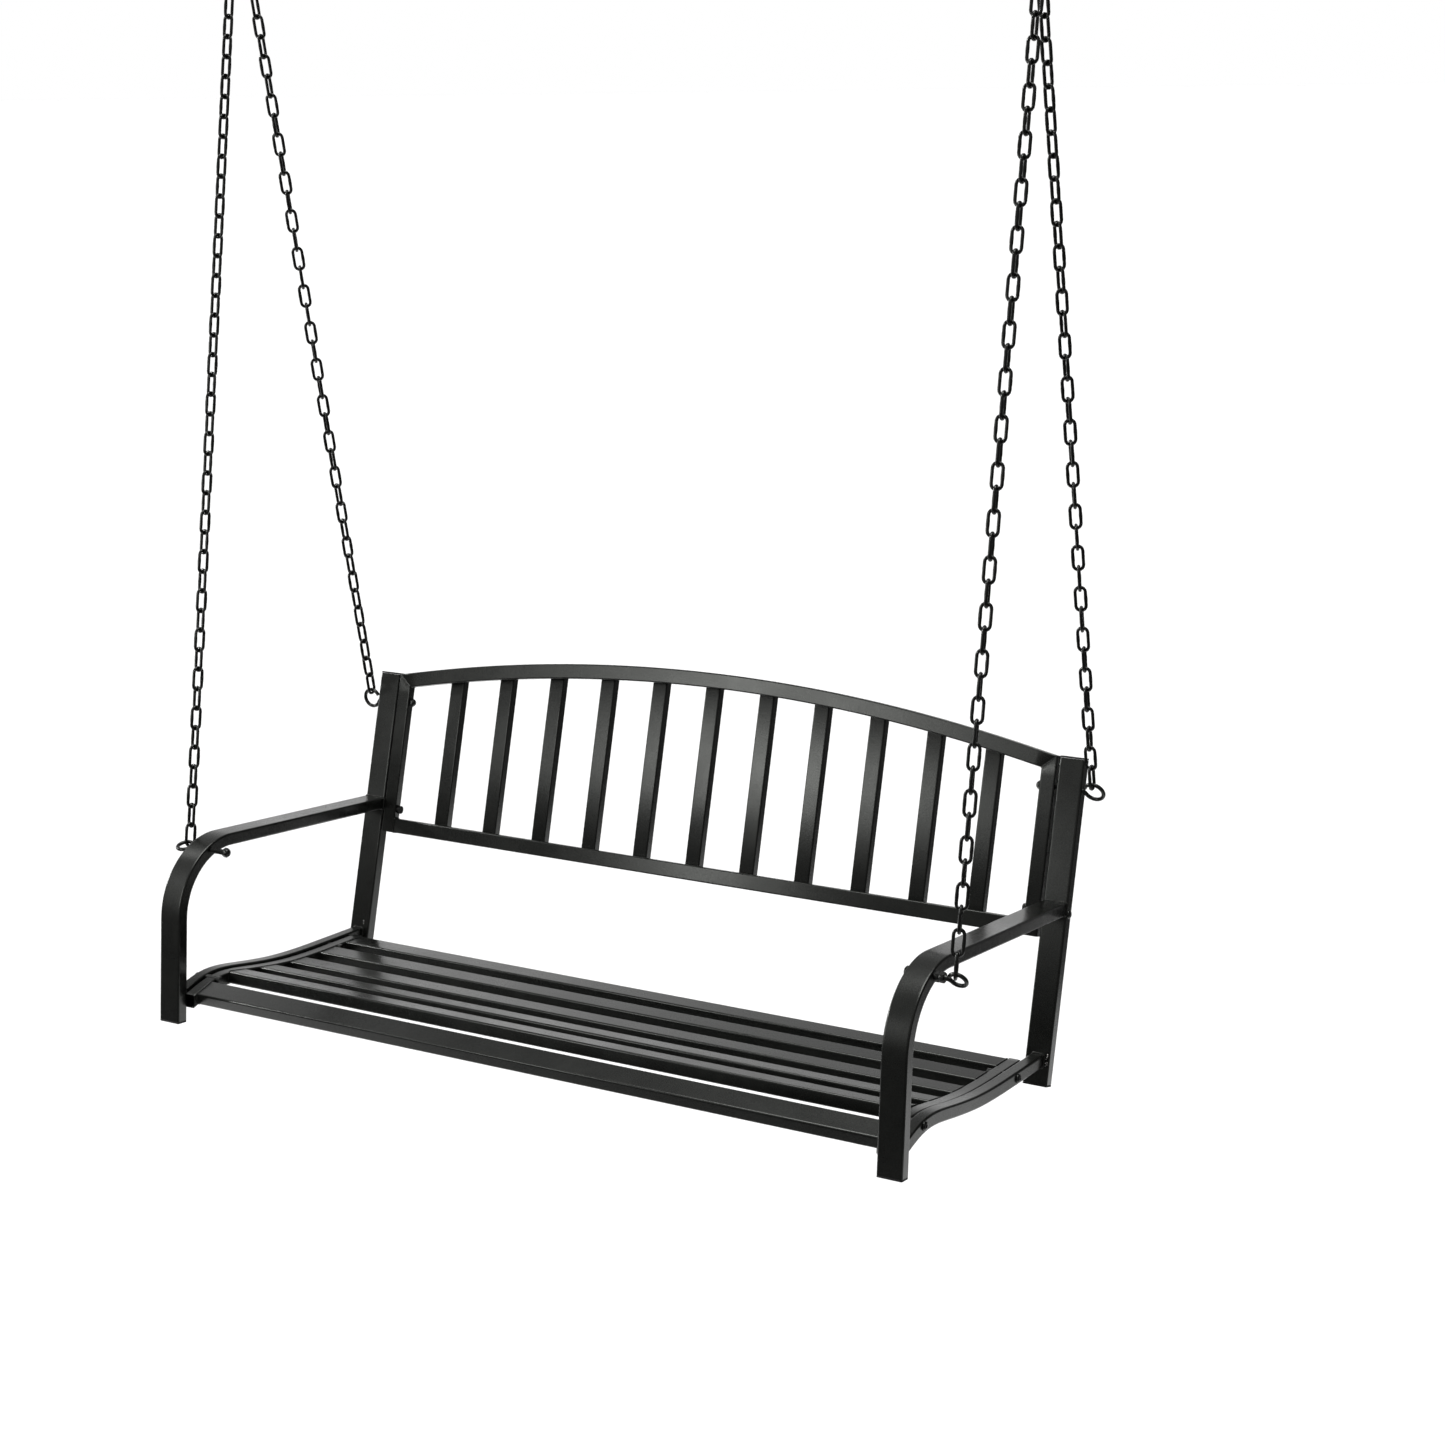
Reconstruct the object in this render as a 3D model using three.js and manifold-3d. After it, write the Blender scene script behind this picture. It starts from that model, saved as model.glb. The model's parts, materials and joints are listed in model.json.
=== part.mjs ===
// Hanging porch bench: two welded side frames, with a seat panel and a backrest panel bolted between them,
// on four chains.
// Millimetres, +Z up, +X to the right as seen from the front, -Y towards the front.
// Origin: middle of the line on which the two top hooks hang.

import * as THREE from 'three';
import { mergeVertices } from 'three/addons/utils/BufferGeometryUtils.js';
import Module from 'manifold-3d';

const wasm = await Module();
wasm.setup();

// ---------- driving dimensions ----------

const GAP = 0.3;                 // clearance between pieces that touch
const BEARING_GAP = 0.9;         // between a chain link and the curved wire it hangs on
const RAD = Math.PI / 180;

// Side frames. Bench coordinates: y = 0 at the front of the front legs, z = 0 at their feet.
const HALF_WIDTH = 635;          // centre to the outer face of a side frame
const FLAT_TUBE = { width: 38, depth: 19, wall: 1 };
const SQUARE_TUBE = { width: 19, depth: 19, wall: 1 };
const LEG_STRAIGHT = 159.5;       // foot to the start of the bend
const BEND_RADIUS = 108.5;       // centre line of the leg-to-arm bend
const CAP = 2.5;                 // thickness of a plastic end cap

// Rear uprights and backrest: both lean back from the line y = LEAN_START at z = 0.
const LEAN_START = 448.4;
const LEAN = 9.87 * RAD;
const UPRIGHT_FOOT = 16.5;       // along the lean
const UPRIGHT_TOP = 490.3;

// Seat curve, on the centre line of the side rails, from the leg to the upright.
const SEAT_START = { y: 10, z: 23.7 };
const SEAT_HEADING = 33.6;
const SEAT_RUNS = [
  { length: 18.6 },
  { radius: 139, turn: -40 },
  { length: 70 },
  { radius: 747, turn: 9.3 },
  { length: 260 },
];
const SEAT_RAIL_X = 617;         // centre of a side rail
const END_RAIL_X = 594.7;        // centre of a seat end rail
const SEAT_DROP = 3;             // seat panel below the side rails
const SEAT_FRONT = 22;           // front and back ends of the end rails
const SEAT_BACK = 427;
const FRONT_RAIL = { y: 45.8, z: 41.6, slope: 20.4 * RAD };
const SLAT_Y = [117.5, 191, 264.5, 338];
const BACK_RAIL_Y = 406;

// Backrest panel, in its own plane: x across, depth backwards, v up the lean.
const PANEL_FRONT = -2;          // its front face stands proud of the uprights
const PANEL_TUBE = { width: 23.5, depth: 14.4, wall: 1 };
const PANEL_HALF = 594;          // centre to the outer edge of a side rail
const ARCH_TOP = 550.9;
const ARCH_RADIUS = 2866;        // along its top edge
const BOTTOM_RAIL_TOP = 250.3;
const SLAT_TUBE = { width: 26, depth: 15, wall: 1 };
const SLAT_COUNT = 11;
const SLAT_PITCH = 97.2;
const SLAT_LAP = 19;             // how far a slat reaches up behind the arch and down behind the bottom rail

// Fasteners.
const HOLE = 3.6;                // radius of a bolt hole
const SHANK = 3.2;
const SEAT_BOLT_Y = [76, 369];
const BACK_BOLT_DEPTH = 7;       // behind the uprights' front face
const LOWER_BOLT_V = 265;
const EYE_WIRE = 2.9;
const FRONT_EYE = { y: 71, z: 258, radius: 11.8, shank: 4.2 };
const REAR_EYE = { v: 443.8, radius: 14.3, shank: SHANK, ringX: 652.7, tip: 563 };
// The eyes were screwed in by hand: the front rings stand off unequally, and every ring leans its own way
// (positive: its top leans forward). The tip is the inner end of the cap nut.
const FRONT_SETTING = {
  left: { ringX: 650.2, tip: 561, nut: 10, lean: -70 * RAD },
  right: { ringX: 668.5, tip: 591.2, nut: 5.5, lean: 40 * RAD },
};
const REAR_RING_LEAN = { left: 20 * RAD, right: 45 * RAD };

// Chains and hanging gear.
const LINK = { pitch: 30, width: 19, wire: 4.8 };
const FRONT_CHAIN = { links: 47, start: 110 * RAD, end: 90 * RAD };
const REAR_CHAIN = { links: 42, start: 90 * RAD, end: 180 * RAD };
const UPPER_CHAIN = { links: 5, start: 90 * RAD, end: 90 * RAD };
const APEX = { x: 664, y: 185, z: 1665 };  // bottom wire of the ring that joins one side's chains
const APEX_SPREAD = 8;           // front and rear chain beside each other in that ring
const RING = { radius: 22, wire: 3.2 };
const HOOK = { radius: 11.5, wire: 3 };
const HANG_TILT = 5.2 * RAD;     // the bench hangs tipped back until its weight is under the apex

// ---------- materials ----------

const steel = new THREE.MeshStandardMaterial({ color: 0x2a2b2a, roughness: 0.45, metalness: 0.3 });
const chainSteel = new THREE.MeshStandardMaterial({ color: 0x141414, roughness: 0.4, metalness: 0.5 });
const zincSteel = new THREE.MeshStandardMaterial({ color: 0x202020, roughness: 0.35, metalness: 0.6 });
const plastic = new THREE.MeshStandardMaterial({ color: 0x161616, roughness: 0.6, metalness: 0 });

// ---------- solids ----------

function toSolid(geometry) {
  const bare = geometry.clone();
  bare.deleteAttribute('normal');
  bare.deleteAttribute('uv');
  const merged = mergeVertices(bare, 1e-4);
  return new wasm.Manifold(new wasm.Mesh({
    numProp: 3,
    vertProperties: merged.attributes.position.array,
    triVerts: new Uint32Array(merged.index.array),
  }));
}

function toGeometry(solid) {
  const mesh = solid.getMesh();
  const geometry = new THREE.BufferGeometry();
  geometry.setAttribute('position', new THREE.BufferAttribute(mesh.vertProperties, 3));
  geometry.setIndex(new THREE.BufferAttribute(mesh.triVerts, 1));
  geometry.computeVertexNormals();
  return geometry;
}

function cut(geometry, cutters) {
  const solid = cutters.reduce((rest, cutter) => rest.subtract(toSolid(cutter)), toSolid(geometry));
  return toGeometry(solid);
}

function join(geometries) {
  return toGeometry(geometries.map(toSolid).reduce((whole, piece) => whole.add(piece)));
}

function rectangle(width, height) {
  const shape = new THREE.Shape();
  shape.moveTo(-width / 2, -height / 2);
  shape.lineTo(width / 2, -height / 2);
  shape.lineTo(width / 2, height / 2);
  shape.lineTo(-width / 2, height / 2);
  shape.closePath();
  return shape;
}

// Hollow rectangular section: width across the path's plane, depth in it.
function tubeSection({ width, depth, wall }) {
  const section = rectangle(width, depth);
  section.holes.push(rectangle(width - 2 * wall, depth - 2 * wall));
  return section;
}

// A straight tube from z = 0 to z = length, its width along X and its depth along Y.
function straightTube(tube, length) {
  return new THREE.ExtrudeGeometry(tubeSection(tube), { depth: length, bevelEnabled: false });
}

// A straight tube along X, centred on the origin, its width along Z (or along Y if flat).
function crossTube(tube, length, flat) {
  const geometry = straightTube(tube, length).translate(0, 0, -length / 2);
  if (flat) geometry.rotateZ(Math.PI / 2);
  return geometry.rotateY(Math.PI / 2);
}

// A cylinder along X between two x positions.
function rod(radius, x0, x1, y = 0, z = 0, sides = 10) {
  const geometry = new THREE.CylinderGeometry(radius, radius, Math.abs(x1 - x0), sides);
  return geometry.rotateZ(Math.PI / 2).translate((x0 + x1) / 2, y, z);
}

// A body of revolution about X. The profile lists [distance along X, radius] and begins and ends on the axis.
function turned(profile, sides = 12) {
  const points = profile.map(([along, radius]) => new THREE.Vector2(radius, along));
  return new THREE.LatheGeometry(points, sides).rotateZ(-Math.PI / 2);
}

// A path in a plane of constant x, made of straight runs and arcs, with stations only where it bends.
class BentPath extends THREE.Curve {
  constructor(start, headingDegrees, runs, arcStep = 9) {
    super();
    this.stations = [];
    let { y, z } = start;
    let heading = headingDegrees * RAD;
    const put = () => this.stations.push({ y, z, heading });
    put();
    for (const run of runs) {
      if (run.length) {
        y += run.length * Math.cos(heading);
        z += run.length * Math.sin(heading);
        put();
        continue;
      }
      const count = Math.max(2, Math.ceil(Math.abs(run.turn) / arcStep));
      const step = (run.turn * RAD) / count;
      for (let i = 0; i < count; i += 1) {
        const chord = 2 * run.radius * Math.sin(Math.abs(step) / 2);
        y += chord * Math.cos(heading + step / 2);
        z += chord * Math.sin(heading + step / 2);
        heading += step;
        put();
      }
    }
  }

  get steps() {
    return this.stations.length - 1;
  }

  blend(t) {
    const along = Math.min(Math.max(t, 0), 1) * this.steps;
    const i = Math.min(Math.floor(along), this.steps - 1);
    const [a, b] = [this.stations[i], this.stations[i + 1]];
    const mix = (key) => a[key] + (b[key] - a[key]) * (along - i);
    return { y: mix('y'), z: mix('z'), heading: mix('heading') };
  }

  getUtoTmapping(u) {
    return u;
  }

  getPoint(t, target = new THREE.Vector3()) {
    const { y, z } = this.blend(t);
    return target.set(0, y, z);
  }

  getTangent(t, target = new THREE.Vector3()) {
    const { heading } = this.blend(t);
    return target.set(0, Math.cos(heading), Math.sin(heading));
  }

  // The centre line and its slope where the path crosses a given y.
  at(y) {
    for (let i = 0; i < this.steps; i += 1) {
      const [a, b] = [this.stations[i], this.stations[i + 1]];
      if (y <= b.y) {
        const mix = (y - a.y) / (b.y - a.y);
        return { y, z: a.z + (b.z - a.z) * mix, heading: a.heading + (b.heading - a.heading) * mix };
      }
    }
    return this.stations[this.steps];
  }
}

function bentTube(tube, path) {
  return new THREE.ExtrudeGeometry(tubeSection(tube), { steps: path.steps, extrudePath: path });
}

// ---------- assembly helpers ----------

const swing = new THREE.Group();
const bench = new THREE.Group();
bench.rotation.x = -HANG_TILT;
swing.add(bench);

// The backrest plane: its z axis runs up the lean, its y axis runs backwards through the panel.
const leaning = new THREE.Group();
leaning.position.set(0, LEAN_START, 0);
leaning.rotation.x = -LEAN;
bench.add(leaning);

function add(parent, name, geometry, material) {
  const mesh = new THREE.Mesh(geometry, material);
  mesh.name = name;
  parent.add(mesh);
  return mesh;
}

const SIDES = [{ side: 'left', sign: -1 }, { side: 'right', sign: 1 }];

// A point of the backrest plane (depth backwards, v up the lean) in bench coordinates.
function fromLeaning(depth, v) {
  return {
    y: LEAN_START + depth * Math.cos(LEAN) + v * Math.sin(LEAN),
    z: v * Math.cos(LEAN) - depth * Math.sin(LEAN),
  };
}

// A block that covers everything behind the uprights' front face, in bench coordinates.
function behindUprights() {
  const size = 400;
  return new THREE.BoxGeometry(200, size, 1200)
    .translate(0, size / 2 - GAP, 0)
    .rotateX(-LEAN)
    .translate(0, LEAN_START, 0);
}

// ---------- side frames ----------

function armTube() {
  const length = 520;
  const path = new BentPath(
    { y: FLAT_TUBE.depth / 2, z: CAP + GAP },
    90,
    [{ length: LEG_STRAIGHT - CAP - GAP }, { radius: BEND_RADIUS, turn: -90 }, { length }],
  );
  const hole = rod(FRONT_EYE.shank + HOLE - SHANK, -60, 60, FRONT_EYE.y, FRONT_EYE.z);
  return cut(bentTube(FLAT_TUBE, path), [behindUprights(), hole]);
}

function upright(sign) {
  const { width, depth } = FLAT_TUBE;
  const length = UPRIGHT_TOP - UPRIGHT_FOOT - 2 * (CAP + GAP);
  const tube = straightTube(FLAT_TUBE, length).translate(0, depth / 2, UPRIGHT_FOOT + CAP + GAP);
  const holes = [REAR_EYE.v, LOWER_BOLT_V].map((v) => rod(HOLE, -width, width, BACK_BOLT_DEPTH, v));
  return cut(tube, holes).translate(sign * (HALF_WIDTH - width / 2), 0, 0);
}

// A big block that covers everything in front of (way = -1) or behind (way = 1) a given y.
function slab(y, way) {
  const size = 400;
  return new THREE.BoxGeometry(size, size, size).translate(0, y + (way * size) / 2, 0);
}

function endCap() {
  return new THREE.BoxGeometry(FLAT_TUBE.width, FLAT_TUBE.depth, CAP);
}

const seatPath = new BentPath(SEAT_START, SEAT_HEADING, SEAT_RUNS);

function seatBoltHoles() {
  return SEAT_BOLT_Y.map((y) => rod(HOLE, -30, 30, y, seatPath.at(y).z));
}

// The side rail fits between the back of the leg and the front of the upright.
function seatSideRail() {
  const leg = slab(FLAT_TUBE.depth + GAP, -1);
  return cut(bentTube(SQUARE_TUBE, seatPath), [leg, behindUprights(), ...seatBoltHoles()]);
}

for (const { side, sign } of SIDES) {
  const tubeX = sign * (HALF_WIDTH - FLAT_TUBE.width / 2);
  add(bench, `arm_tube_${side}`, armTube().translate(tubeX, 0, 0), steel);
  add(leaning, `upright_${side}`, upright(sign), steel);
  add(bench, `seat_side_rail_${side}`, seatSideRail().translate(sign * SEAT_RAIL_X, 0, 0), steel);

  add(bench, `leg_cap_${side}`, endCap(), plastic).position.set(tubeX, FLAT_TUBE.depth / 2, CAP / 2);
  const foot = add(leaning, `upright_foot_cap_${side}`, endCap(), plastic);
  foot.position.set(tubeX, FLAT_TUBE.depth / 2, UPRIGHT_FOOT + CAP / 2);
  const top = add(leaning, `upright_top_cap_${side}`, endCap(), plastic);
  top.position.set(tubeX, FLAT_TUBE.depth / 2, UPRIGHT_TOP - CAP / 2);
}

// ---------- seat panel ----------

const seatInner = END_RAIL_X - SQUARE_TUBE.width / 2;

function seatEndRail() {
  const rail = bentTube(SQUARE_TUBE, seatPath).translate(0, 0, -SEAT_DROP);
  return cut(rail, [slab(SEAT_FRONT, -1), slab(SEAT_BACK, 1), ...seatBoltHoles()]);
}

// A slat lies flush with the end rails, at the slope they have there.
function addSeatSlat(name, y) {
  const { z, heading } = seatPath.at(y);
  const length = 2 * (seatInner - GAP);
  const slat = add(bench, name, crossTube(FLAT_TUBE, length, true), steel);
  slat.position.set(0, y, z - SEAT_DROP);
  slat.rotation.x = heading;
}

// The front rail tips down to the front, flush with the rising ends of the end rails.
function addFrontRail() {
  const rail = add(bench, 'seat_front_rail', crossTube(FLAT_TUBE, 2 * (seatInner - GAP), true), steel);
  rail.position.set(0, FRONT_RAIL.y, FRONT_RAIL.z);
  rail.rotation.x = FRONT_RAIL.slope;
}

for (const { side, sign } of SIDES) {
  add(bench, `seat_end_rail_${side}`, seatEndRail().translate(sign * END_RAIL_X, 0, 0), steel);
}
addFrontRail();
SLAT_Y.forEach((y, i) => addSeatSlat(`seat_slat_${i + 1}`, y));
addSeatSlat('seat_back_rail', BACK_RAIL_Y);

// ---------- backrest panel ----------

const panelMiddle = PANEL_FRONT + PANEL_TUBE.depth / 2;
const panelInner = PANEL_HALF - PANEL_TUBE.width;

// Height of the arch's top edge, or of an edge a given distance below it, at x.
function archEdge(x, below = 0) {
  const radius = ARCH_RADIUS - below;
  return ARCH_TOP - below - (radius - Math.sqrt(radius * radius - x * x));
}

const mitreOuter = archEdge(PANEL_HALF);
const mitreInner = archEdge(panelInner, PANEL_TUBE.width);
const mitreAngle = Math.atan2(mitreOuter - mitreInner, PANEL_TUBE.width);

// A block whose one long face is the mitre plane, above it (up = 1) or below it (up = -1).
function mitreBlock(sign, up) {
  const size = 80;
  return new THREE.BoxGeometry(size, size, size)
    .translate(0, 0, up * (size / 2 - GAP / 2))
    .rotateY(-sign * mitreAngle)
    .translate(sign * (PANEL_HALF + panelInner) / 2, panelMiddle, (mitreOuter + mitreInner) / 2);
}

class ArchPath extends THREE.Curve {
  getPoint(t, target = new THREE.Vector3()) {
    const radius = ARCH_RADIUS - PANEL_TUBE.width / 2;
    const half = Math.asin(PANEL_HALF / radius);
    const angle = (2 * t - 1) * half;
    return target.set(radius * Math.sin(angle), 0, radius * Math.cos(angle));
  }
}

function topRail() {
  const tube = { width: PANEL_TUBE.depth, depth: PANEL_TUBE.width, wall: PANEL_TUBE.wall };
  const arch = new THREE.ExtrudeGeometry(tubeSection(tube), { steps: 20, extrudePath: new ArchPath() });
  arch.translate(0, panelMiddle, ARCH_TOP - ARCH_RADIUS);
  return cut(arch, SIDES.map(({ sign }) => mitreBlock(sign, -1)));
}

function panelSideRail(sign) {
  const middle = sign * (PANEL_HALF - PANEL_TUBE.width / 2);
  const foot = BOTTOM_RAIL_TOP - PANEL_TUBE.width;
  const rail = straightTube(PANEL_TUBE, mitreOuter - foot).translate(middle, panelMiddle, foot);
  const holes = [REAR_EYE.v, LOWER_BOLT_V].map((v) => {
    return rod(HOLE, middle - 40, middle + 40, BACK_BOLT_DEPTH, v);
  });
  return cut(rail, [mitreBlock(sign, 1), ...holes]);
}

function addBackSlat(index) {
  const x = (index - (SLAT_COUNT - 1) / 2) * SLAT_PITCH;
  const foot = BOTTOM_RAIL_TOP - SLAT_LAP;
  const head = archEdge(Math.abs(x) + SLAT_TUBE.width / 2, PANEL_TUBE.width) + SLAT_LAP;
  const name = `back_slat_${String(index + 1).padStart(2, '0')}`;
  const slat = add(leaning, name, straightTube(SLAT_TUBE, head - foot), steel);
  slat.position.set(x, PANEL_FRONT + PANEL_TUBE.depth + GAP + SLAT_TUBE.depth / 2, foot);
}

add(leaning, 'back_top_rail', topRail(), steel);
const bottomTube = crossTube(PANEL_TUBE, 2 * (panelInner - GAP), false);
const bottomRail = add(leaning, 'back_bottom_rail', bottomTube, steel);
bottomRail.position.set(0, panelMiddle, BOTTOM_RAIL_TOP - PANEL_TUBE.width / 2);
for (const { side, sign } of SIDES) add(leaning, `back_side_rail_${side}`, panelSideRail(sign), steel);
for (let i = 0; i < SLAT_COUNT; i += 1) addBackSlat(i);

// ---------- fasteners ----------

// Everything here points outwards along +X for sign 1 and along -X for sign -1.
function hexNut(sign, x0, x1, radius) {
  return rod(radius, sign * x0, sign * x1, 0, 0, 6);
}

// A round-head bolt with its nut run up on the far side of the grip; x = 0 is the outer face of the grip.
function boltWithNut(sign, grip) {
  const head = turned([[0, 0], [0, 7], [2, 6.4], [3.6, 4.2], [4.2, 0]]);
  if (sign < 0) head.rotateZ(Math.PI);
  head.translate(sign * GAP, 0, 0);
  const shank = rod(SHANK, sign, -sign * (grip + 5));
  return join([head, shank, hexNut(sign, -grip - GAP - 5, -grip - GAP, nutRadius(SHANK))]);
}

// Over the corners of a nut for a shank.
function nutRadius(shank) {
  return shank + 3.4;
}

// A bent-wire eye; x = 0 is the centre of its ring. The collars are the nuts' [outer x, inner x] on its shank.
function eyeBolt(sign, { radius, shank }, length, lean, collars) {
  const ring = new THREE.TorusGeometry(radius, EYE_WIRE, 8, 20).rotateX(Math.PI / 2 + lean);
  const stem = rod(shank, -sign * (radius + 1.5), -sign * length, 0, 0, 12);
  const neck = rod(EYE_WIRE, -sign * radius, -sign * (radius + 3), 0, 0, 12);
  return join([ring, neck, stem, ...collars.map(([x0, x1]) => hexNut(sign, x0, x1, nutRadius(shank)))]);
}

// A domed cap nut with its blind hole opening outwards; x = 0 is the tip of the dome.
function capNut(sign, length, shank) {
  const radius = nutRadius(shank);
  const dome = [[0, 0], [0.6, 0.5 * radius], [2.4, 0.85 * radius], [4.4, radius]];
  const nut = turned([...dome, [length, radius], [length, 0]]);
  if (sign < 0) nut.rotateZ(Math.PI);
  return cut(nut, [rod(shank + GAP, sign * 2.5, sign * (length + 5))]);
}

// Front eye: through the bend of the arm tube. Where the ring stands off there are two nuts behind it and a
// thin nut is hard against the arm; on the other side the nut ends a long bare shank.
function addFrontEye(side, sign) {
  const { ringX, tip, nut, lean } = FRONT_SETTING[side];
  const place = (mesh, x) => mesh.position.set(sign * x, FRONT_EYE.y, FRONT_EYE.z);
  const outer = HALF_WIDTH - ringX;
  const standsOff = -outer > 2 * FRONT_EYE.radius;
  const collars = standsOff ? [[outer + 15, outer + 8], [outer + 7.5, outer + GAP]] : [];
  const bolt = eyeBolt(sign, FRONT_EYE, ringX - tip - 3, lean, collars);
  place(add(bench, `eye_bolt_front_${side}`, bolt, zincSteel), ringX);
  place(add(bench, `cap_nut_front_${side}`, capNut(sign, nut, FRONT_EYE.shank), zincSteel), tip);
}

// Rear eye: through the upright and the backrest's side rail.
function addRearEye(side, sign) {
  const { v, ringX, tip, shank } = REAR_EYE;
  const place = (mesh, x) => mesh.position.set(sign * x, BACK_BOLT_DEPTH, v);
  const bolt = eyeBolt(sign, REAR_EYE, ringX - tip - 3, REAR_RING_LEAN[side], []);
  place(add(leaning, `eye_bolt_rear_${side}`, bolt, zincSteel), ringX);
  place(add(leaning, `cap_nut_rear_${side}`, capNut(sign, panelInner - GAP - tip, shank), zincSteel), tip);
}

function addBackBolt(side, sign) {
  const bolt = boltWithNut(sign, HALF_WIDTH - panelInner);
  const mesh = add(leaning, `back_bolt_${side}`, bolt, zincSteel);
  mesh.position.set(sign * HALF_WIDTH, BACK_BOLT_DEPTH, LOWER_BOLT_V);
}

function addSeatBolts(side, sign) {
  const outer = SEAT_RAIL_X + SQUARE_TUBE.width / 2;
  SEAT_BOLT_Y.forEach((y, i) => {
    const bolt = boltWithNut(sign, outer - seatInner);
    const mesh = add(bench, `seat_bolt_${i === 0 ? 'front' : 'rear'}_${side}`, bolt, zincSteel);
    mesh.position.set(sign * outer, y, seatPath.at(y).z);
  });
}

for (const { side, sign } of SIDES) {
  addFrontEye(side, sign);
  addRearEye(side, sign);
  addBackBolt(side, sign);
  addSeatBolts(side, sign);
}

// ---------- chains and hanging gear ----------

// Heights below the line on which the hooks hang: each piece bears on the next with a small clearance.
const linkOnHook = HOOK.wire + BEARING_GAP;
const linkOnRing = RING.wire + BEARING_GAP;
const linkOnEye = EYE_WIRE + BEARING_GAP;
const hookBearing = 4 * HOOK.radius - HOOK.wire;
const ringTop = hookBearing - linkOnHook + UPPER_CHAIN.links * LINK.pitch - linkOnRing;
const apexDrop = ringTop + 2 * RING.radius;

// The bench is placed so that the apex of its chains comes to (x, 0, -apexDrop).
const tipBack = (point) => point.applyAxisAngle(new THREE.Vector3(1, 0, 0), -HANG_TILT);
const apexInBench = tipBack(new THREE.Vector3(0, APEX.y, APEX.z));
bench.position.set(0, -apexInBench.y, -apexDrop - apexInBench.z);

function fromBench(x, y, z) {
  return tipBack(new THREE.Vector3(x, y, z)).add(bench.position);
}

// One link as a closed loop standing along +Z in the XZ plane, long enough to bite into its neighbours.
function linkLoop() {
  const bite = 0.2;
  const reach = LINK.pitch / 2 + LINK.wire + bite;
  const loop = rectangle(LINK.width, 2 * reach);
  loop.holes.push(rectangle(LINK.width - 2 * LINK.wire, LINK.pitch - 2 * bite));
  const geometry = new THREE.ExtrudeGeometry(loop, { depth: LINK.wire, bevelEnabled: false });
  return geometry.translate(0, 0, -LINK.wire / 2).rotateX(Math.PI / 2);
}

// A taut chain between two bearing points, fused where its links bear on each other. Each link is a quarter
// turn from the one before; the whole chain also twists evenly from its start angle to its end angle.
function chain(from, to, { links, start, end }) {
  const along = new THREE.Vector3().subVectors(to, from);
  const step = along.length() / links;
  along.normalize();
  const lean = new THREE.Quaternion().setFromUnitVectors(new THREE.Vector3(0, 0, 1), along);
  const pieces = [];
  for (let i = 0; i < links; i += 1) {
    const spin = start + (i * Math.PI) / 2 + ((end - start) * i) / (links - 1);
    const middle = from.clone().addScaledVector(along, step * (i + 0.5));
    const link = linkLoop().rotateZ(spin).scale(1, 1, step / LINK.pitch).applyQuaternion(lean);
    pieces.push(link.translate(middle.x, middle.y, middle.z));
  }
  return join(pieces);
}

// A chain whose end links reach past their bearing wires by the given clearances; the left side is mirrored.
function hangChain(name, from, to, kind, clearFrom, clearTo) {
  const mirror = Math.sign(from.x);
  const along = new THREE.Vector3().subVectors(to, from).normalize();
  const start = from.clone().addScaledVector(along, -clearFrom);
  const end = to.clone().addScaledVector(along, clearTo);
  const twist = { links: kind.links, start: mirror * kind.start, end: mirror * kind.end };
  add(swing, name, chain(start, end, twist), chainSteel);
}

// The wire's middle at the top of a leaning eye, from the eye's centre.
function eyeTop(radius, lean) {
  return { y: -radius * Math.sin(lean), z: radius * Math.cos(lean) };
}

function ring() {
  return new THREE.TorusGeometry(RING.radius, RING.wire, 8, 24).rotateX(Math.PI / 2);
}

// An S-hook in the XZ plane: its upper turn opens inwards (sign 1: towards -X), its lower turn outwards.
class HookPath extends THREE.Curve {
  constructor(sign) {
    super();
    this.sign = sign;
  }

  getPoint(t, target = new THREE.Vector3()) {
    const sweep = 1.6 * Math.PI;
    const upper = t < 0.5;
    const angle = upper ? -Math.PI / 2 + sweep * (1 - 2 * t) : Math.PI / 2 + sweep * (2 * t - 1);
    const middle = upper ? HOOK.radius : -HOOK.radius;
    return target.set(this.sign * HOOK.radius * Math.cos(angle), 0, middle + HOOK.radius * Math.sin(angle));
  }
}

function hook(sign) {
  const section = new THREE.Shape().absarc(0, 0, HOOK.wire, 0, 2 * Math.PI, false);
  return new THREE.ExtrudeGeometry(section, { steps: 32, curveSegments: 4, extrudePath: new HookPath(sign) });
}

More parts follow.
